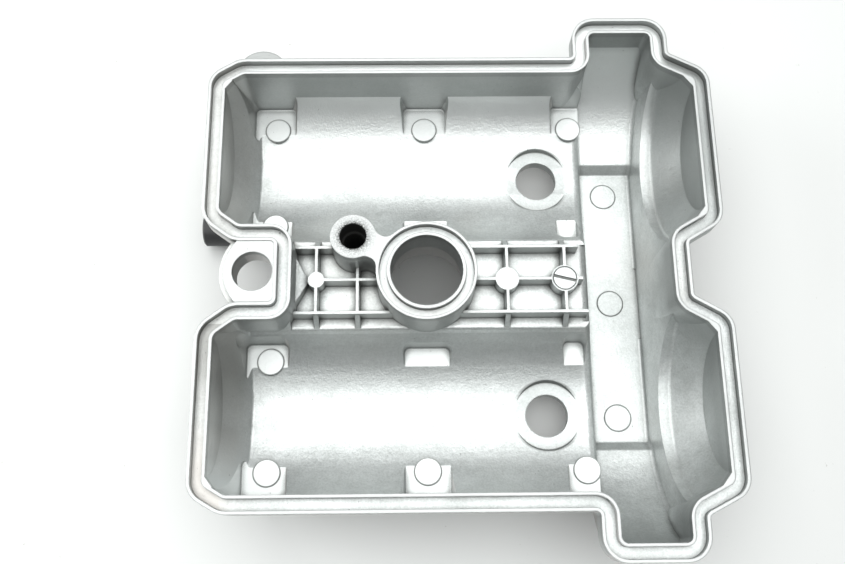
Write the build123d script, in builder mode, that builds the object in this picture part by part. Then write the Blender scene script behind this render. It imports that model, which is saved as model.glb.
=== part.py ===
# Die-cast valve cover of a twin-cam engine cylinder, lying on its crown with its cavity open upwards.
# Millimetres. The origin is on the spark plug bore's axis, in the gasket plane. X runs along the
# camshafts towards the cam chain, Y runs across them, and +Z points out of the open cavity.
import os
from math import atan2, cos, degrees, radians, tan

from build123d import *

os.makedirs("parts", exist_ok=True)

# Casting walls, and how far a solid reaches into its neighbour so that the two join
wall = 3.2
overlap = 2.0
tolerance = 0.01

# Cavity outline in the gasket plane: one half, which is mirrored in Y
cavity_left = 84.6
cavity_right = 114.8
cavity_half_width = 87.7
ear_notch_x = 54.4
ear_notch_half = 20.0
ear_notch_slant_x = 76.3
left_wall_low = 26.0
left_wall_high = 83.3
left_chamfer_x = 77.2
bump_left = 71.4
bump_right = 98.0
bump_half_width = 106.6
bump_slant_y = 92.5
right_wall_high = 84.0
right_wall_low = 24.2
chain_notch_x = 99.7
chain_notch_half = 15.5
inside_radius = 4.0
tight_radius = 2.2
bump_radius = 2.5

# Rim: inner lip, gasket groove and outer lip
lip_width = 1.3
groove_width = 4.5
outer_lip_width = 1.4
groove_depth = 3.5
rim_depth = 9.0
rim_corner_radius = 1.8

# Cam domes, turned about each cam axis, which lies in the gasket plane
cam_spacing = 107.6
dome_radius = 40.3
dome_left = 74.3
dome_right = 104.6
cone_angle = 52.0
cone_length = 14.0
cone_radius = 1.5
dome_edge_radius = 3.5

# Cam chain channel across the right end
chain_arch_radius = 54.2
chain_arch_edge = 2.0
chain_floor_depth = 57.3
chain_floor_left = 74.2
chain_floor_right = 98.4
chain_left_draft = 9.0
chain_right_draft = 4.0
chain_flat_half = 63.5
chain_flat_slope = 37.0
chain_blend_depth = 40.0
corner_radius = 1.5

# Valley between the domes
valley_depth = 21.0
valley_half = 20.0
valley_edge_radius = 2.0
valley_end_radius = 4.0

# Spark plug bore with its sealing ring groove, and the recess for the plug cap
plug_ring_radius = 20.5
plug_bore_radius = 14.7
plug_groove_inner = 16.1
plug_groove_outer = 19.3
plug_recess_radius = 17.0
plug_recess_from = 15.0
plug_collar_depth = 34.0

# Air port beside the plug bore
port_x = -29.8
port_y = 14.4
port_boss_radius = 9.4
port_bore_radius = 5.5
port_step_radius = 4.5
port_step_depth = 10.0
port_web_width = 10.6
port_web_radius = 4.0

# Bolt ear in the left notch
ear_x = -70.1
ear_bore_radius = 8.1
ear_reach = 81.8
ear_radius = 19.0
ear_thickness = 12.0
ear_step = 0.3
ear_skirt = 2.0
ear_skirt_step = 3.0

# Bolt holes through the domes, with their seal seats
bolt_x = 51.3
bolt_bore_radius = 9.1
bolt_seat_radius = 14.3
bolt_seat_mouth = 15.6
bolt_seat_height = 4.0
bolt_seat_depth = 39.8
bolt_face_depth = 45.2
bolt_boss_radius = 18.5

# Flat pads in the dome shoulders: X of the middle, half length, Y of the straight edge, the way to
# the cam axis, and the place of the ejector pin's round mark if there is one
shoulder_pads = [
    (-67.7, 9.3, cavity_half_width, -1, (-66.7, 77.1)),
    (0.2, 9.6, cavity_half_width, -1, (0.1, 77.1)),
    (67.0, 8.7, cavity_half_width, -1, (66.3, 77.1)),
    (-67.7, 9.0, 23.0, 1, (-66.5, 30.5)),
    (0.3, 9.8, 25.0, 1, None),
    (63.0, 4.5, 23.0, 1, None),
]
pad_depth = 34.4
pad_reach = 15.9
pad_radius = 2.5
pad_draft = 8.0
pad_floor_radius = 0.8
mark_radius = 5.6
mark_height = 0.4
floor_mark_radius = 5.9
floor_mark_height = 0.25
floor_marks = [(85.5, -52.7), (85.5, 0.0), (85.5, 52.7)]

# Rib lattice on the valley floor: rails and middle ribs along X, cross ribs, tails outside the rails
rib_top_depth = 13.5
rib_width = 1.3
rib_draft = 3.0
rail_y = 14.1
rail_left = -56.0
rails = [
    (rail_left, -37.0, rail_y),
    (rail_left, -13.0, -rail_y),
    (13.0, 64.0, rail_y),
    (13.0, 67.0, -rail_y),
    (-45.8, -19.0, 0.0),
    (19.0, 65.5, 0.0),
]
cross_ribs = [
    (-45.8, rail_y, -rail_y),
    (-28.6, 6.0, -rail_y),
    (33.8, rail_y, -rail_y),
    (58.0, rail_y, -rail_y),
]
tails = [(-45.8, 1), (-45.8, -1), (-28.6, -1), (33.8, 1), (33.8, -1), (58.0, 1), (58.0, -1)]
tail_width = 2.2
tail_reach = 19.0
tail_drop = 1.0
gusset_half = 12.8
gusset_tip = -49.0
gusset_drop = 3.0
insert_x = 57.8
rib_bosses = [(-45.8, 3.5), (33.8, 5.0), (insert_x, 5.7)]
insert_slot_width = 1.1
insert_slot_length = 9.8
insert_slot_angle = -14.0
insert_ring_radius = 5.1
insert_ring_width = 0.4
insert_relief = 0.4

# Lug outside the top wall, tapped from the crown side
lug_x = -71.0
lug_y = 93.8
lug_radius = 11.4
lug_face_depth = 12.0
lug_back_depth = 26.0
lug_thread_radius = 3.0
lug_thread_length = 10.0

# Reed valve housing on the crown side, with a ledge for the valve and a chamber under the air port
housing_x = -37.0
housing_y = 12.0
housing_length = 38.0
housing_width = 50.0
housing_radius = 8.0
housing_face_depth = 44.5
seat_length = 28.0
seat_width = 27.0
ledge_width = 2.0
chamber_height = 11.5

# Cap of the reed valve housing with its bent air spout
cap_flange = 3.0
cap_margin = 1.0
cap_wall = 2.2
cap_body_length = 32.0
cap_body_width = 29.0
cap_body_radius = 6.0
spout_root_x = -44.0
spout_root_y = 18.0
spout_bend_x = -58.0
spout_straight_x = -76.0
spout_end_x = -101.5
spout_y = 35.5
spout_radius = 7.5
spout_bore_radius = 5.3
spout_bend_radius = 10.0
spout_lead = 0.8

# Screws of the cap
screw_spacing = 41.0
screw_radius = 2.5
screw_length = 9.5
screw_hole_depth = 7.0
screw_clearance = 0.3
thread_clearance = 0.05
screw_head_radius = 4.6
screw_head_height = 3.6
screw_edge_radius = 0.5
socket_size = 4.0
socket_depth = 2.2

# Reed valve: frame, spring petal, bent stop and one small screw
frame_clearance = 0.2
frame_height = 3.5
window_length = 12.0
window_width = 13.0
window_shift = 3.0
petal_thickness = 0.4
petal_left = -10.0
petal_right = 11.0
petal_half_width = 8.5
stop_thickness = 1.0
stop_bend = -4.0
stop_rise = 4.0
stop_half_width = 7.0
reed_screw_x = -7.2
reed_screw_radius = 1.25
reed_screw_length = 4.0
reed_hole_depth = 3.0
reed_head_radius = 2.3
reed_head_height = 1.2

cam_y = cam_spacing / 2
rim_width = lip_width + groove_width + outer_lip_width
notch_radius = rim_width + rim_corner_radius
rest_depth = chain_floor_depth + wall
deep = rest_depth + overlap
far = cavity_right + bump_half_width
chamber_top_depth = housing_face_depth - chamber_height
spout_depth = housing_face_depth + spout_radius
cap_height = 2 * spout_radius + cap_margin
bottom_up = (Align.CENTER, Align.CENTER, Align.MIN)
top_down = (Align.CENTER, Align.CENTER, Align.MAX)


# The closed cavity outline, grown outwards by a given width
def cavity_outline(grow=0.0):
    half = [
        (-ear_notch_x, ear_notch_half, notch_radius),
        (-ear_notch_slant_x, ear_notch_half, inside_radius),
        (-cavity_left, left_wall_low, inside_radius),
        (-cavity_left, left_wall_high, tight_radius),
        (-left_chamfer_x, cavity_half_width, inside_radius),
        (bump_left, cavity_half_width, notch_radius),
        (bump_left, bump_half_width, bump_radius),
        (bump_right, bump_half_width, bump_radius),
        (bump_right, bump_slant_y, notch_radius),
        (cavity_right, right_wall_high, tight_radius),
        (cavity_right, right_wall_low, tight_radius),
        (chain_notch_x, chain_notch_half, notch_radius),
    ]
    loop = half + [(x, -y, radius) for x, y, radius in reversed(half)]
    points = [(x, y) for x, y, radius in loop]
    radii = [radius for x, y, radius in loop]
    with BuildSketch() as outline:
        with BuildLine():
            FilletPolyline(*points, radius=radii, close=True)
        make_face()
        if grow:
            offset(amount=grow)
    return outline.sketch


# X of the channel's drafted side walls at a given depth, grown by a wall thickness
def channel_left(depth, grow=0.0):
    draft = radians(chain_left_draft)
    return chain_floor_left - (chain_floor_depth - depth) * tan(draft) - grow / cos(draft)


def channel_right(depth, grow=0.0):
    draft = radians(chain_right_draft)
    return chain_floor_right + (chain_floor_depth - depth) * tan(draft) + grow / cos(draft)


# Both cam domes: a cylinder with a cone at each end
def dome_space(grow=0.0):
    cone = radians(cone_angle)
    shift = grow * tan(cone / 2)
    left = -dome_left - shift
    right = dome_right + shift
    length = cone_length + grow
    top = dome_radius + grow
    foot = top - length * tan(cone)
    points = [
        (left - length, 0),
        (left - length, foot),
        (left, top),
        (right, top),
        (right + length, foot),
        (right + length, 0),
    ]
    rounding = cone_radius + grow
    with BuildPart() as space:
        for side in (-1, 1):
            with BuildSketch(Plane.XY):
                with BuildLine():
                    shifted = [(x, side * cam_y + radius) for x, radius in points]
                    FilletPolyline(*shifted, radius=[0, 0, rounding, rounding, 0, 0], close=True)
                make_face()
            revolve(axis=Axis((0, side * cam_y, 0), (1, 0, 0)))
    return space.part


# The chain channel: two arches joined by a flat floor, between two drafted walls
def channel_space(grow=0.0):
    floor = chain_floor_depth + grow
    slope = radians(chain_flat_slope)
    low_half = chain_flat_half + grow * (1 / cos(slope) - tan(slope))
    high_half = low_half + (floor - chain_blend_depth) * tan(slope)
    rounding = corner_radius + grow
    across = [
        (-low_half, -floor),
        (low_half, -floor),
        (high_half, -chain_blend_depth),
        (high_half, overlap),
        (-high_half, overlap),
        (-high_half, -chain_blend_depth),
    ]
    along = [
        (channel_left(floor, grow), -floor),
        (channel_right(floor, grow), -floor),
        (channel_right(-overlap, grow), overlap),
        (channel_left(-overlap, grow), overlap),
    ]
    with BuildPart() as space:
        with BuildSketch(Plane.YZ):
            with BuildLine():
                FilletPolyline(*across, radius=[rounding, rounding, 0, 0, 0, 0], close=True)
            make_face()
            with Locations((-cam_y, 0), (cam_y, 0)):
                Circle(chain_arch_radius + grow)
            if not grow:
                arch_ends = [
                    corner
                    for corner in vertices()
                    if corner.Y < -chain_blend_depth
                    and abs(Vector(abs(corner.X) - cam_y, corner.Y).length - chain_arch_radius) < tolerance
                ]
                fillet(arch_ends, radius=chain_arch_edge)
        extrude(amount=far)
        with BuildSketch(Plane.XZ):
            Polygon(*along, align=None)
        extrude(amount=far, both=True, mode=Mode.INTERSECT)
        sides = [faces().sort_by(Axis.X)[0], faces().sort_by(Axis.X)[-1]]
        low_edges = [edge for face in sides for edge in face.edges() if edge.center().Z < 0]
        fillet(low_edges, radius=rounding)
        # Outside the cam axes the upper part of the left wall stands upright
        for side, grip in ((-1, Align.MAX), (1, Align.MIN)):
            with Locations((bump_left - grow, side * cam_y, 0)):
                Box(far, far, 2 * deep, align=(Align.MAX, grip, Align.CENTER), mode=Mode.SUBTRACT)
    return space.part


domes = dome_space()
channel = channel_space()
dome_skin = dome_space(wall)
channel_skin = channel_space(wall)


# Plan of a shoulder pad, grown by a wall thickness
def pad_plan(pad, side, grow=0.0):
    x, half, edge, inward, mark_place = pad
    with BuildSketch() as plan:
        with Locations((x, side * (edge + inward * pad_reach / 2))):
            RectangleRounded(2 * (half + grow), pad_reach + 2 * grow, pad_radius + grow)
    return plan.sketch


# Ring boss of the plug bore and boss of the air port, with the web between them
def boss_plan():
    middle = Vector(port_x, port_y) * 0.5
    with BuildSketch() as plan:
        Circle(plug_ring_radius)
        with Locations((port_x, port_y)):
            Circle(port_boss_radius)
        with Locations(Location((middle.X, middle.Y, 0), (0, 0, degrees(atan2(port_y, port_x))))):
            Rectangle(middle.length * 2, port_web_width)
        neck = Vector(port_x, port_y) * (1 - (port_boss_radius - port_web_radius) / middle.length / 2)
        fillet(vertices().sort_by_distance((neck.X, neck.Y))[:4], radius=port_web_radius)
    return plan.sketch


rim_plan = cavity_outline(rim_width)
skin_plan = cavity_outline(wall)
port_plan = boss_plan()
pads = [(pad, side) for pad in shoulder_pads for side in (-1, 1)]
valley_cut = channel_left(valley_depth)

# Everything that is open inside the cover, up to just above the gasket plane
with BuildPart() as cavity:
    add(domes)
    add(channel)
    dome_ends = [
        edge
        for edge in edges().filter_by(GeomType.CIRCLE) + edges().filter_by(GeomType.ELLIPSE)
        if abs(Vector(abs((edge @ 0.5).Y) - cam_y, (edge @ 0.5).Z).length - dome_radius) < tolerance
        and valley_cut < (edge @ 0.5).X < chain_floor_left
    ]
    fillet(dome_ends, radius=dome_edge_radius)
    with BuildSketch(Plane.YZ.offset(-ear_notch_x - overlap)):
        with Locations((0, (overlap - valley_depth) / 2)):
            Rectangle(2 * valley_half, valley_depth + overlap)
        with Locations((-cam_y, 0), (cam_y, 0)):
            Circle(dome_radius)
        fillet(vertices().group_by(Axis.Y)[0], radius=valley_edge_radius)
    extrude(amount=ear_notch_x + overlap + valley_cut)
    with BuildSketch(Plane.XZ):
        with BuildLine():
            FilletPolyline(
                (valley_cut - deep, overlap),
                (valley_cut - deep, -valley_depth),
                (valley_cut, -valley_depth),
                (chain_floor_left, -chain_floor_depth),
                (chain_floor_right, -chain_floor_depth),
                (chain_floor_right, overlap),
                radius=[0, 0, valley_end_radius, 0, 0, 0],
                close=True,
            )
        make_face()
    extrude(amount=valley_half - wall, both=True)
    with Locations((bolt_x, -cam_y, -bolt_seat_depth), (bolt_x, cam_y, -bolt_seat_depth)):
        Cone(bolt_seat_radius, bolt_seat_mouth, bolt_seat_height, align=bottom_up)
    for pad, side in pads:
        with BuildPart(mode=Mode.PRIVATE) as recess:
            with BuildSketch(Plane.XY.offset(-pad_depth)):
                add(pad_plan(pad, side))
            extrude(amount=pad_depth, taper=-pad_draft)
            fillet(faces().sort_by(Axis.Z)[0].edges(), radius=pad_floor_radius)
        add(recess.part)
    with BuildSketch(Plane.XY.offset(-deep)):
        add(cavity_outline())
    extrude(amount=deep + overlap / 2, mode=Mode.INTERSECT)

with BuildPart() as casting:
    # Skin of the crown side
    add(dome_skin)
    add(channel_skin)
    with Locations((-far / 2 + valley_cut, 0, 0)):
        Box(far, 2 * (valley_half + wall), valley_depth + wall, align=top_down)
    for pad, side in pads:
        with BuildSketch(Plane.XY.offset(-pad_depth - wall)):
            add(pad_plan(pad, side, wall))
        extrude(amount=pad_depth + wall)
    with Locations((bolt_x, -cam_y, -bolt_face_depth), (bolt_x, cam_y, -bolt_face_depth)):
        Cylinder(bolt_boss_radius, bolt_face_depth, align=bottom_up)
    with BuildSketch(Plane.XY.offset(-deep)):
        add(skin_plan)
    extrude(amount=deep, mode=Mode.INTERSECT)
    # Flange of the rim, bolt ear and lug
    with BuildSketch(Plane.XY.offset(-rim_depth)):
        add(rim_plan)
    extrude(amount=rim_depth)
    for widen, step in ((0, ear_step), (ear_skirt, ear_skirt_step)):
        reach = ear_reach + widen
        with BuildSketch(Plane.XY.offset(-ear_thickness)):
            with Locations((ear_radius - ear_reach, 0)):
                Circle(ear_radius + widen)
            with Locations((-(reach + ear_notch_x + wall) / 2, 0)):
                Rectangle(reach - ear_notch_x - wall, 2 * (ear_notch_half - wall), mode=Mode.INTERSECT)
        extrude(amount=ear_thickness - step)
    with Locations((lug_x, lug_y, -lug_back_depth)):
        Cylinder(lug_radius, lug_back_depth - lug_face_depth, align=bottom_up)
    with BuildSketch(Plane.XY.offset(-lug_face_depth)):
        with Locations((lug_x, lug_y)):
            Circle(lug_radius)
        add(rim_plan, mode=Mode.INTERSECT)
    extrude(amount=lug_face_depth - rim_depth)
    # Housing of the reed valve and collar of the plug recess
    with BuildSketch(Plane.XY.offset(-housing_face_depth)):
        with Locations((housing_x, housing_y)):
            RectangleRounded(housing_length, housing_width, housing_radius)
    extrude(amount=housing_face_depth - valley_depth)
    with Locations((0, 0, -plug_collar_depth)):
        Cylinder(plug_recess_radius + wall, plug_collar_depth - valley_depth, align=bottom_up)
    # Open the cavity, then add what stands in it
    add(cavity.part, mode=Mode.SUBTRACT)
    with BuildSketch(Plane.XY):
        add(port_plan)
    extrude(amount=-valley_depth - wall)
    with Locations((port_x, port_y, 0)):
        Cylinder(port_boss_radius, chamber_top_depth, align=top_down)
    rib_height = valley_depth - rib_top_depth + overlap
    rib_foot = rib_width + 2 * rib_height * tan(radians(rib_draft))
    rib_middle = -rib_top_depth - rib_height / 2
    for x1, x2, y in rails:
        with BuildSketch(Plane.YZ.offset(x1)):
            with Locations((y, rib_middle)):
                Trapezoid(rib_foot, rib_height, 90 - rib_draft)
        extrude(amount=x2 - x1)
    for x, y1, y2 in cross_ribs:
        with BuildSketch(Plane.XZ.offset(-y1)):
            with Locations((x, rib_middle)):
                Trapezoid(rib_foot, rib_height, 90 - rib_draft)
        extrude(amount=y1 - y2)
    for x, side in tails:
        with BuildSketch(Plane.YZ.offset(x)):
            with BuildLine():
                Polyline(
                    (side * rail_y, -rib_top_depth - tail_drop),
                    (side * tail_reach, -valley_depth),
                    (side * tail_reach, -valley_depth - overlap),
                    (side * rail_y, -valley_depth - overlap),
                    close=True,
                )
            make_face()
        extrude(amount=tail_width / 2, both=True)
    with BuildPart(mode=Mode.PRIVATE) as gusset:
        with BuildSketch(Plane.XZ):
            Polygon(
                (rail_left, -valley_depth - overlap),
                (gusset_tip, -valley_depth - overlap),
                (gusset_tip, -rib_top_depth - gusset_drop),
                (rail_left, -rib_top_depth),
                align=None,
            )
        extrude(amount=gusset_half, both=True)
        with BuildSketch():
            Polygon((rail_left, gusset_half), (gusset_tip, 0), (rail_left, -gusset_half), align=None)
        extrude(amount=-deep, mode=Mode.INTERSECT)
    add(gusset.part)
    with BuildSketch(Plane.XY.offset(-rib_top_depth)):
        for x, radius in rib_bosses:
            with Locations((x, 0)):
                Circle(radius)
    extrude(amount=-rib_height)
    for (*plan, mark_place), side in pads:
        if mark_place:
            mark_x, mark_y = mark_place
            with Locations((mark_x, side * mark_y, mark_height - pad_depth)):
                Cylinder(mark_radius, wall, align=top_down)
    for x, y in floor_marks:
        with Locations((x, y, floor_mark_height - chain_floor_depth)):
            Cylinder(floor_mark_radius, wall, align=top_down)
    # Marks of the date insert
    with BuildSketch(Plane.XY.offset(-rib_top_depth)):
        with Locations((insert_x, 0)):
            Circle(insert_ring_radius)
            Circle(insert_ring_radius - insert_ring_width, mode=Mode.SUBTRACT)
        with Locations(Location((insert_x, 0, 0), (0, 0, insert_slot_angle))):
            SlotOverall(insert_slot_length, insert_slot_width)
    extrude(amount=-insert_relief, mode=Mode.SUBTRACT)
    # Gasket groove and sealing ring groove
    with BuildSketch(Plane.XY):
        add(cavity_outline(lip_width + groove_width))
        add(cavity_outline(lip_width), mode=Mode.SUBTRACT)
        Circle(plug_groove_outer)
        Circle(plug_groove_inner, mode=Mode.SUBTRACT)
    extrude(amount=-groove_depth, mode=Mode.SUBTRACT)
    # Bores and threads
    Cylinder(plug_bore_radius, deep, align=top_down, mode=Mode.SUBTRACT)
    with Locations((0, 0, -plug_recess_from)):
        Cylinder(plug_recess_radius, deep, align=top_down, mode=Mode.SUBTRACT)
    with Locations((ear_x, 0, 0)):
        Cylinder(ear_bore_radius, deep, align=top_down, mode=Mode.SUBTRACT)
    with Locations((bolt_x, -cam_y, 0), (bolt_x, cam_y, 0)):
        Cylinder(bolt_bore_radius, deep, align=top_down, mode=Mode.SUBTRACT)
    with Locations((port_x, port_y, 0)):
        Cylinder(port_bore_radius, port_step_depth, align=top_down, mode=Mode.SUBTRACT)
        Cylinder(port_step_radius, chamber_top_depth, align=top_down, mode=Mode.SUBTRACT)
    with Locations((lug_x, lug_y, -lug_back_depth)):
        Cylinder(lug_thread_radius, lug_thread_length, align=bottom_up, mode=Mode.SUBTRACT)
    # Ledge and chamber of the reed valve, and the threads of its cap screws
    with Locations((housing_x, housing_y, -housing_face_depth)):
        Box(seat_length, seat_width, frame_height, align=bottom_up, mode=Mode.SUBTRACT)
    with Locations((housing_x, housing_y, -chamber_top_depth)):
        Box(
            seat_length - 2 * ledge_width,
            seat_width - 2 * ledge_width,
            housing_face_depth - chamber_top_depth,
            align=top_down,
            mode=Mode.SUBTRACT,
        )
    with Locations((housing_x, housing_y, -housing_face_depth)):
        with GridLocations(0, screw_spacing, 1, 2):
            Cylinder(
                screw_radius + thread_clearance, screw_hole_depth, align=bottom_up, mode=Mode.SUBTRACT
            )
casting.part.label = "cover_casting"
export_step(casting.part, "parts/cover_casting.step")

# Cap: a flange on the housing's face, a hollow body, and the bent spout for an air hose
sealing_z = -housing_face_depth
spout_path = [
    (spout_root_x, spout_root_y),
    (spout_bend_x, spout_root_y),
    (spout_straight_x, spout_y),
    (spout_end_x, spout_y),
]


# A round bar along the spout's bent path
def spout_bar(radius):
    with BuildPart() as bar:
        with BuildLine(Plane.XY.offset(-spout_depth)):
            FilletPolyline(*spout_path, radius=spout_bend_radius)
        with BuildSketch(Plane((spout_root_x, spout_root_y, -spout_depth), z_dir=(-1, 0, 0))):
            Circle(radius)
        sweep()
    return bar.part


spout_outside = spout_bar(spout_radius)
spout_inside = spout_bar(spout_bore_radius)

with BuildPart() as cap:
    with BuildSketch(Plane.XY.offset(sealing_z)):
        with Locations((housing_x, housing_y)):
            RectangleRounded(housing_length, housing_width, housing_radius)
    extrude(amount=-cap_flange)
    with BuildSketch(Plane.XY.offset(sealing_z)):
        with Locations((housing_x, housing_y)):
            RectangleRounded(cap_body_length, cap_body_width, cap_body_radius)
    extrude(amount=-cap_height)
    fillet(faces().sort_by(Axis.Z)[0].edges(), radius=cap_wall)
    add(spout_outside)
    chamfer(faces().sort_by(Axis.X)[0].edges(), length=spout_lead)
    with BuildSketch(Plane.XY.offset(sealing_z)):
        with Locations((housing_x, housing_y)):
            RectangleRounded(
                cap_body_length - 2 * cap_wall, cap_body_width - 2 * cap_wall, cap_body_radius - cap_wall
            )
    extrude(amount=cap_wall - cap_height, mode=Mode.SUBTRACT)
    add(spout_inside, mode=Mode.SUBTRACT)
    with Locations((housing_x, housing_y, sealing_z)):
        with GridLocations(0, screw_spacing, 1, 2):
            Cylinder(screw_radius + screw_clearance, cap_flange, align=top_down, mode=Mode.SUBTRACT)
cap.part.label = "reed_cap"
export_step(cap.part, "parts/reed_cap.step")

# Socket head screws of the cap
for name, side in (("cap_screw_low", -1), ("cap_screw_high", 1)):
    with BuildPart() as screw:
        with Locations((housing_x, housing_y + side * screw_spacing / 2, sealing_z - cap_flange)):
            Cylinder(screw_head_radius, screw_head_height, align=top_down)
            Cylinder(screw_radius, screw_length, align=bottom_up)
        top_edges = faces().sort_by(Axis.Z)[0].edges()
        fillet(top_edges, radius=screw_edge_radius)
        with BuildSketch(Plane.XY.offset(sealing_z - cap_flange - screw_head_height)):
            with Locations((housing_x, housing_y + side * screw_spacing / 2)):
                RegularPolygon(socket_size / 2, 6, major_radius=False)
        extrude(amount=socket_depth, mode=Mode.SUBTRACT)
    screw.part.label = name
    export_step(screw.part, "parts/" + name + ".step")

# Reed valve, stacked from its frame on the ledge towards the air port
petal_z = sealing_z + frame_height
stop_z = petal_z + petal_thickness
with BuildPart() as frame:
    with Locations((housing_x, housing_y, sealing_z)):
        Box(
            seat_length - 2 * frame_clearance,
            seat_width - 2 * frame_clearance,
            frame_height,
            align=bottom_up,
        )
    with Locations((housing_x + window_shift, housing_y, sealing_z)):
        Box(window_length, window_width, frame_height, align=bottom_up, mode=Mode.SUBTRACT)
    with Locations((housing_x + reed_screw_x, housing_y, petal_z)):
        Cylinder(
            reed_screw_radius + thread_clearance, reed_hole_depth, align=top_down, mode=Mode.SUBTRACT
        )
frame.part.label = "reed_frame"
export_step(frame.part, "parts/reed_frame.step")

with BuildPart() as petal:
    with Locations((housing_x + (petal_left + petal_right) / 2, housing_y, petal_z)):
        Box(petal_right - petal_left, 2 * petal_half_width, petal_thickness, align=bottom_up)
    with Locations((housing_x + reed_screw_x, housing_y, petal_z)):
        Cylinder(reed_screw_radius + screw_clearance, petal_thickness, align=bottom_up, mode=Mode.SUBTRACT)
petal.part.label = "reed_petal"
export_step(petal.part, "parts/reed_petal.step")

with BuildPart() as stop:
    with BuildSketch(Plane.XZ.offset(-housing_y)):
        with BuildLine():
            Polyline(
                (housing_x + petal_left, stop_z),
                (housing_x + stop_bend, stop_z),
                (housing_x + petal_right, stop_z + stop_rise),
                (housing_x + petal_right, stop_z + stop_rise + stop_thickness),
                (housing_x + stop_bend, stop_z + stop_thickness),
                (housing_x + petal_left, stop_z + stop_thickness),
                close=True,
            )
        make_face()
    extrude(amount=stop_half_width, both=True)
    with Locations((housing_x + reed_screw_x, housing_y, stop_z)):
        Cylinder(reed_screw_radius + screw_clearance, stop_thickness, align=bottom_up, mode=Mode.SUBTRACT)
stop.part.label = "reed_stop"
export_step(stop.part, "parts/reed_stop.step")

with BuildPart() as reed_screw:
    with Locations((housing_x + reed_screw_x, housing_y, stop_z + stop_thickness)):
        Cylinder(reed_head_radius, reed_head_height, align=bottom_up)
        Cylinder(reed_screw_radius, reed_screw_length, align=top_down)
reed_screw.part.label = "reed_screw"
export_step(reed_screw.part, "parts/reed_screw.step")
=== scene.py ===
import math

import bmesh
import bpy
from mathutils import Matrix, Vector

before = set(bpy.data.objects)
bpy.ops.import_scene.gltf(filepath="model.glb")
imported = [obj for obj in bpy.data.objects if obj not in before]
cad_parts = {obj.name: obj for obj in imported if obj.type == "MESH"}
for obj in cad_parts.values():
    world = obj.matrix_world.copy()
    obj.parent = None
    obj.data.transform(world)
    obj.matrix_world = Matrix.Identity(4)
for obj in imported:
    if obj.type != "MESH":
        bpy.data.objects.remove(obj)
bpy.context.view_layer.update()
print("frame loaded")

mm = 0.001

# camera: turned and placed as the photograph was taken, lens for a 36 mm wide picture
viewSet = {
    "turn": (-15.9355, 0.6742, 0.5243),  # degrees, as one turn about one axis
    "place": (-6.5538, -106.9382, 356.3428),  # millimetres
    "lens": 39.479,
}
turn = Vector(viewSet["turn"])
viewTurn = Matrix.Rotation(math.radians(turn.length), 4, turn.normalized())
lensData = bpy.data.cameras.new("viewLens")
lensData.lens = viewSet["lens"]
lensData.sensor_width = 36
lensData.clip_start = 0.01
viewCamera = bpy.data.objects.new("viewCamera", lensData)
viewCamera.matrix_world = Matrix.Translation(Vector(viewSet["place"]) * mm) @ viewTurn.transposed()
bpy.context.collection.objects.link(viewCamera)
bpy.context.scene.camera = viewCamera
print("camera placed")


# a wire is one output socket; arithmetic on wires adds Math nodes
class Wire:
    def __init__(self, tree, socket=None):
        self.tree = tree
        self.socket = socket

    # any node: its settings first, then the values or links of its sockets
    def node(self, kind, settings=None, inputs=None, output=0):
        made = self.tree.nodes.new(kind)
        for name, value in (settings or {}).items():
            setattr(made, name, value)
        for name, value in (inputs or {}).items():
            if isinstance(value, Wire):
                self.tree.links.new(value.socket, made.inputs[name])
            else:
                made.inputs[name].default_value = value
        return Wire(self.tree, made.outputs[output])

    def sum(self, operation, *values):
        return self.node("ShaderNodeMath", {"operation": operation}, dict(enumerate(values)))

    def larger(self, other):
        return self.sum("MAXIMUM", self, other)

    def __add__(self, other):
        return self.sum("ADD", self, other)

    def __radd__(self, other):
        return self.sum("ADD", other, self)

    def __sub__(self, other):
        return self.sum("SUBTRACT", self, other)

    def __rsub__(self, other):
        return self.sum("SUBTRACT", other, self)

    def __mul__(self, other):
        return self.sum("MULTIPLY", self, other)

    def __rmul__(self, other):
        return self.sum("MULTIPLY", other, self)

    def __abs__(self):
        return self.sum("ABSOLUTE", self)

    # 0 below low, 1 above high
    def step(self, low, high):
        return self.node(
            "ShaderNodeMapRange", {"clamp": True}, {"Value": self, "From Min": low, "From Max": high}
        )

    # masks along a length: fading in, or fading out, between two places in millimetres
    def past(self, low, high):
        return self.step(low * mm, high * mm)

    def upTo(self, low, high):
        return 1 - self.past(low, high)

    def noise(self, size, detail, rough, squeeze=(1, 1, 1)):
        where = self.node("ShaderNodeMapping", None, {"Vector": self, "Scale": squeeze})
        return self.node(
            "ShaderNodeTexNoise",
            None,
            {"Vector": where, "Scale": 1 / (size * mm), "Detail": detail, "Roughness": rough},
        )

    # mixes two colours by a mask
    def tint(self, mask, low, high):
        return self.node("ShaderNodeMix", {"data_type": "RGBA"}, {"Factor": mask, 6: low, 7: high}, output=2)


# starts a material with a Principled shader; gives a blank wire, the object's coordinates and the shader
def newMaterial(name):
    made = bpy.data.materials.new(name)
    made.use_nodes = True
    tree = made.node_tree
    shader = tree.nodes["Principled BSDF"]
    blank = Wire(tree)
    place = blank.node("ShaderNodeTexCoord", None, None, output=3)
    return made, blank, place, shader


def feed(shader, values):
    tree = shader.id_data
    for name, value in values.items():
        if isinstance(value, Wire):
            tree.links.new(value.socket, shader.inputs[name])
        else:
            shader.inputs[name].default_value = value


def splitPlace(blank, vector):
    return [blank.node("ShaderNodeSeparateXYZ", None, {"Vector": vector}, output=i) for i in range(3)]


# distance from an upright axis given in millimetres
def fromAxis(x, y, axisX, axisY):
    dx, dy = x - axisX * mm, y - axisY * mm
    square = dx * dx + dy * dy
    return square.sum("SQRT", square)


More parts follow.
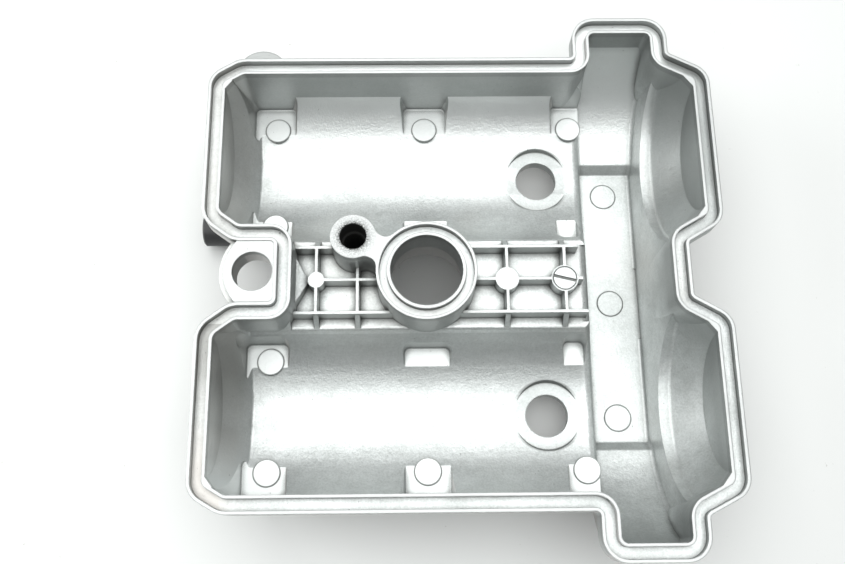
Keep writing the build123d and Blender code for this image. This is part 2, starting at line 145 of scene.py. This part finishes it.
# bare casting with painted shade on steep walls and in corners, painted light and shade in broad zones,
# lips in a darker grey that is partly painted shade, grime in small marks, and a silver crown side; places
# and lengths in millimetres
castSet = {
    "bare": (0.75, 0.77, 0.765, 1),
    "dull": (0.52, 0.54, 0.53, 1),
    # darkest grey: painted shade on steep walls, near the valley and at the right end; it also dims the bolt
    # seats and the lug's top
    "shadeAndDim": (0.33, 0.345, 0.34, 1),
    "warm": (0.60, 0.57, 0.54, 1),
    # darker grey of the cut faces: partly their own cast tone, partly painted shade
    "cutGreyAndShade": (0.51, 0.52, 0.515, 1),
    # palest grey: the pads' own tone, also used as painted light on the upper dome's far side
    "pad": (0.86, 0.88, 0.87, 1),
    # near black: painted shade in corners, and grime in marks and pits
    "grimeAndShade": (0.09, 0.092, 0.085, 1),
    "crown": (0.50, 0.49, 0.48, 1),
    "soot": (0.02, 0.02, 0.018, 1),
    "domeY": 53.8,
    "middleX": (15.0, 87.0),  # of the domes, and of the space right of the chain channel's left wall
    "boltX": 51.3,
    "port": (-29.8, 14.4),
    "insert": (57.8, 0.0, -13.7),
    "insertTurn": -14,  # degrees
    "marks": [(-66.7, 77.1, 5.6), (0.1, 77.1, 5.6), (66.3, 77.1, 5.6), (-66.5, 30.5, 5.6)],  # x, y, radius
    "floorMarks": [(85.5, 52.7, 5.9), (85.5, 0.0, 5.9)],
    # how far the painted corner shade reaches, and the most that shade and grime together darken
    "cornerShadeReach": 3.6,
    "mostGrimeAndShade": 0.88,
    "edgeRadius": 0.7,
    "bumpHeight": 0.3,
}


def castMaterial():
    made, blank, place, shader = newMaterial("castAluminium")
    x, y, z = splitPlace(blank, place)
    nx, ny, nz = splitPlace(blank, blank.node("ShaderNodeNewGeometry", None, None, output=1))
    domeY = castSet["domeY"]
    portFar = fromAxis(x, y, *castSet["port"])
    ringFar = fromAxis(x, y, 0, 0)
    seatFar = fromAxis(x, abs(y), castSet["boltX"], domeY)
    nearGasket = z.past(-3.7, -3.6)

    # the crown side: faces that look away from the middle of the space they enclose
    leftX, rightX = castSet["middleX"]
    middleX = x.past(67.9, 68.1) * (rightX - leftX) * mm + leftX * mm
    inward = nx * (middleX - x) + ny * (y.sum("SIGN", y) * (domeY * mm) - y) - nz * z
    pastEar = x.past(-56.6, -56.5)
    valley = abs(y).upTo(20.6, 20.8) * z.past(-22.6, -22.4) * pastEar.larger(nearGasket)
    boss = z.past(-33.5, -33.3) * portFar.upTo(9.6, 9.8)
    crown = inward.upTo(-0.2, 0) * (1 - valley) * (1 - boss) * z.upTo(-0.12, -0.08)
    inside = 1 - crown
    lug = y.past(95.0, 95.3) * x.upTo(-50, -49)
    crown = crown.larger(lug)

    # level faces: machined lips, shoulder pads, channel floor, ring groove; and the bolt seats
    level = nz.step(0.9, 0.99)
    sloped = 1 - level
    upright = 1 - abs(nz).step(0.15, 0.8)
    cut = level * z.past(-0.4, -0.35)
    pad = level * z.past(-34.6, -34.5) * z.upTo(-33.9, -33.8)
    floor = level * z.upTo(-56.6, -56.5)
    ringGroove = level * nearGasket * ringFar.upTo(20.5, 21)
    seat = seatFar.upTo(12.8, 14.6) * seatFar.past(9.2, 9.4) * z.upTo(-39.7, -39.65)

    # blotches, flow marks along X, a fine grain and dark pits
    blotch = place.noise(24, 4, 0.6).step(0.38, 0.68)
    flow = place.noise(7, 4, 0.65, (0.25, 1, 1)).step(0.35, 0.75)
    grain = place.noise(0.8, 2, 0.6)
    mottle = place.noise(2.8, 4, 0.65).step(0.3, 0.7)
    pits = place.noise(1.1, 2, 0.5).step(0.72, 0.78)
    stain = place.noise(60, 2, 0.5).step(0.52, 0.70)
    speckle = place.noise(0.9, 3, 0.7).step(0.36, 0.64)
    patches = blotch * 0.35 + flow * 0.35 + mottle * 0.35 + speckle * 0.5 - 0.25

    # painted light and shade: broad lighter and darker zones on the casting skin, standing in for where
    # light falls more or less
    chainWall = x.past(88, 92) * z.upTo(-30, -12)
    leftEnd = x.upTo(-80, -74)
    shadeAndDim = upright * (0.75 - chainWall * 0.7) + leftEnd * 0.22 * sloped
    farSideLight = y.past(62, 80) * nz.step(0.1, 0.3) * x.past(-76, -66) * x.upTo(102, 106)
    nearValleyShade = y.past(-52, -38) * y.upTo(-21.0, -20.8) * x.upTo(66, 68)
    rightEndShade = x.past(102, 106) * y.past(10, 40)
    lowEnd = leftEnd * y.upTo(-21.0, -20.8) * (1 - cut)
    lowCornerLight = x.upTo(-74, -69) * y.upTo(-76, -60) * sloped
    lowWallLight = y.upTo(-82, -78) * upright * x.upTo(66, 70)

    colour = blank.tint(patches, castSet["bare"], castSet["dull"])
    for mask, name in (
        (stain * 0.35, "warm"),
        # painted shade: steep walls and the left end darker, the chain channel's wall less so
        (shadeAndDim, "shadeAndDim"),
        # painted light: the upper dome's far side lighter
        (farSideLight * 0.9, "pad"),
        # painted shade: near the valley on the lower dome, and at the right end
        (nearValleyShade * 0.35 + rightEndShade * 0.7, "shadeAndDim"),
        # painted shade: the lower left end darker
        (lowEnd * y.past(-56, -36) * 0.5, "grimeAndShade"),
        # the left end tinted warmer, most at its lower corner
        (leftEnd * (0.3 + lowEnd * y.upTo(-76, -58) * 0.6), "warm"),
        # painted light: the lower left corner and the low wall lighter
        (lowCornerLight * 0.8 + lowWallLight * 0.3, "bare"),
        (floor * 0.3, "dull"),
        # painted shade dims the bolt seats
        (seat * 0.4, "shadeAndDim"),
        (ringGroove * 0.3, "pad"),
        # cut faces in a darker grey: partly their own tone, partly painted shade
        (cut * 0.85, "cutGreyAndShade"),
        (pad, "pad"),
    ):
        colour = blank.tint(mask, colour, castSet[name])

    # painted shade in corners, on the gasket groove's walls and round the bolt seats; grime in the rings
    # round the ejector marks, in pits and in the insert's slot
    ring = None
    for places, mask in ((castSet["marks"], pad), (castSet["floorMarks"], floor)):
        for markX, markY, radius in places:
            line = abs(fromAxis(x, abs(y), markX, markY) - radius * mm).upTo(0.1, 0.45) * mask
            ring = line if ring is None else ring.larger(line)
    # painted shade: a dark line round the bolt seats, faded at the sides where the seat meets the dome
    seatShadeLine = abs(seatFar - 14.9 * mm).upTo(0.3, 0.9) * z.upTo(-38, -37) * z.past(-41.6, -40.2)
    seatShadeLine = seatShadeLine * abs(abs(y) - domeY * mm).past(6, 12)
    # painted shade in corners, from ambient occlusion, lighter on the gasket groove floors
    cornerShade = blank.node(
        "ShaderNodeAmbientOcclusion", {"samples": 8}, {"Distance": castSet["cornerShadeReach"] * mm}, output=1
    )
    cornerShade = (1 - cornerShade.step(0.3, 0.92)) * inside * (1 - level * nearGasket * (0.5 + ringGroove * 0.3))
    # painted shade on the steep faces by the gasket groove
    gasketWallShade = (1 - abs(nz).step(0.5, 0.8)) * z.past(-3.7, -3.4) * inside
    turned = blank.node("ShaderNodeMapping", {"vector_type": "TEXTURE"}, {
        "Vector": place,
        "Location": [length * mm for length in castSet["insert"]],
        "Rotation": (0, 0, math.radians(castSet["insertTurn"])),
    })
    slotX, slotY, slotZ = splitPlace(blank, turned)
    slot = abs(slotY).upTo(0.45, 0.65) * abs(slotX).upTo(4.7, 4.9) * abs(slotZ).upTo(0.5, 0.6)
    # painted shade and grime together
    grimeAndShade = cornerShade * 0.95 + ring * 0.5 + pits * 0.5 + gasketWallShade * 0.2 + slot * 0.7 + seatShadeLine * 0.45
    grimeAndShade = grimeAndShade.sum("MINIMUM", grimeAndShade, castSet["mostGrimeAndShade"])
    colour = blank.tint(grimeAndShade, colour, castSet["grimeAndShade"])

    # soot in the air port and scattered around it, then the crown side's silver
    sootEdge = portFar.upTo(5.5, 7.2) * place.noise(0.6, 2, 0.7).step(0.42, 0.58)
    dust = portFar.upTo(6.2, 10.5) * place.noise(0.7, 3, 0.7).step(0.38, 0.60) * 0.6
    sootWall = portFar.upTo(5.52, 5.6) * z.upTo(-1.5, -0.1)
    colour = blank.tint(dust * cut, colour, castSet["soot"])
    colour = blank.tint(sootEdge.larger(sootWall), colour, castSet["soot"])
    colour = blank.tint(crown, colour, castSet["crown"])
    # the lug's level top in the same dark grey
    colour = blank.tint(lug * nz.step(0.3, 0.7) * 0.8, colour, castSet["shadeAndDim"])

    rough = 0.36 + blotch * 0.06 + grain * 0.10 + sootWall * 0.3 + pad * 0.1 + grimeAndShade * 0.2
    rough = rough + crown * (0.40 - rough)
    height = (grain * 0.35 + speckle * 0.18 + mottle * 0.35 - pits * 0.5 - ring * 0.6) * (1 - cut * 0.7)
    rounded = blank.node("ShaderNodeBevel", {"samples": 4}, {"Radius": castSet["edgeRadius"] * mm})
    bump = blank.node(
        "ShaderNodeBump",
        None,
        {"Strength": 0.5, "Distance": castSet["bumpHeight"] * mm, "Height": height, "Normal": rounded},
    )
    feed(shader, {
        "Base Color": colour,
        "Metallic": 0.85 - crown * 0.3 - sootWall * 0.6 - pad * 0.3,
        "Roughness": rough,
        "Coat Weight": crown * 0.3,
        "Coat Roughness": 0.25,
        "Normal": bump,
    })
    return made


# moulded plastic with a fine spark-eroded grain
capSet = {"black": (0.040, 0.040, 0.042, 1), "worn": (0.10, 0.10, 0.104, 1)}


def capMaterial():
    made, blank, place, shader = newMaterial("mouldedBlack")
    grain = place.noise(0.5, 2, 0.6)
    wear = place.noise(12, 3, 0.6).step(0.45, 0.75)
    bump = blank.node("ShaderNodeBump", None, {"Strength": 0.3, "Distance": 0.2 * mm, "Height": grain})
    feed(shader, {
        "Base Color": blank.tint(wear * 0.6, capSet["black"], capSet["worn"]),
        "Roughness": 0.40 + grain * 0.15 + wear * 0.1,
        "Normal": bump,
    })
    return made


# plated, ground and machined metal: light and dark colour, roughness
steelSet = {
    "zincSteel": ((0.55, 0.56, 0.55, 1), (0.36, 0.36, 0.34, 1), 0.32),
    "springSteel": ((0.46, 0.46, 0.48, 1), (0.33, 0.33, 0.34, 1), 0.25),
    "cutAluminium": ((0.68, 0.69, 0.70, 1), (0.52, 0.53, 0.53, 1), 0.35),
}


def metalMaterial(name):
    light, dark, rough = steelSet[name]
    made, blank, place, shader = newMaterial(name)
    blotch = place.noise(4, 3, 0.6).step(0.35, 0.7)
    lines = place.noise(0.5, 2, 0.5, (0.08, 1, 1))
    bump = blank.node("ShaderNodeBump", None, {"Strength": 0.2, "Distance": 0.1 * mm, "Height": lines})
    feed(shader, {
        "Base Color": blank.tint(blotch, light, dark),
        "Metallic": 1.0,
        "Roughness": rough + blotch * 0.12,
        "Normal": bump,
    })
    return made


finishes = {
    "cover_casting": castMaterial(),
    "reed_cap": capMaterial(),
    "cap_screw_low": metalMaterial("zincSteel"),
    "reed_petal": metalMaterial("springSteel"),
    "reed_frame": metalMaterial("cutAluminium"),
}
finishes["cap_screw_high"] = finishes["cap_screw_low"]
finishes["reed_screw"] = finishes["cap_screw_low"]
finishes["reed_stop"] = finishes["reed_petal"]
for nodeName, finish in finishes.items():
    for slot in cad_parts[nodeName].material_slots:
        slot.material = finish
print("materials set")

# a pale table with a few faint specks; its half width in metres, its height in millimetres
tableSet = {"white": (0.79, 0.795, 0.785, 1), "speck": (0.45, 0.43, 0.40, 1), "half": 2.2, "z": -60.5}


def makeTable():
    mesh = bpy.data.meshes.new("tableTop")
    build = bmesh.new()
    bmesh.ops.create_grid(build, x_segments=1, y_segments=1, size=tableSet["half"])
    bmesh.ops.translate(build, verts=build.verts, vec=(0, 0, tableSet["z"] * mm))
    build.to_mesh(mesh)
    build.free()
    table = bpy.data.objects.new("tableTop", mesh)
    bpy.context.collection.objects.link(table)
    made, blank, place, shader = newMaterial("paleTable")
    specks = place.noise(2.2, 2, 0.5).step(0.74, 0.80) * place.noise(30, 2, 0.5).step(0.5, 0.6)
    feed(shader, {
        "Base Color": blank.tint(specks, tableSet["white"], tableSet["speck"]),
        "Roughness": 0.45,
    })
    mesh.materials.append(made)


makeTable()

# two soft panels aimed at the part, in a dim room
lightSet = {
    "panels": [  # name, place and size in metres, power
        ("skyPanel", (0.0, 0.09, 0.93), (1.3, 1.7), 18.5),
        ("sidePanel", (-0.95, 0.2, 0.36), (0.45, 0.9), 5.5),
    ],
    "colour": (0.98, 1.0, 0.995),
    "roomColour": (0.93, 0.96, 0.97, 1),
    "room": 0.10,
}
for name, place, size, power in lightSet["panels"]:
    panel = bpy.data.lights.new(name, "AREA")
    panel.shape = "RECTANGLE"
    panel.size, panel.size_y = size
    panel.energy = power
    panel.color = lightSet["colour"]
    lamp = bpy.data.objects.new(name, panel)
    lamp.location = place
    lamp.rotation_euler = (-Vector(place)).to_track_quat("-Z", "Y").to_euler()
    bpy.context.collection.objects.link(lamp)

world = bpy.data.worlds.new("softRoom")
world.use_nodes = True
background = world.node_tree.nodes["Background"]
background.inputs["Color"].default_value = lightSet["roomColour"]
background.inputs["Strength"].default_value = lightSet["room"]
bpy.context.scene.world = world
bpy.context.scene.view_settings.view_transform = "Standard"
print("light set")
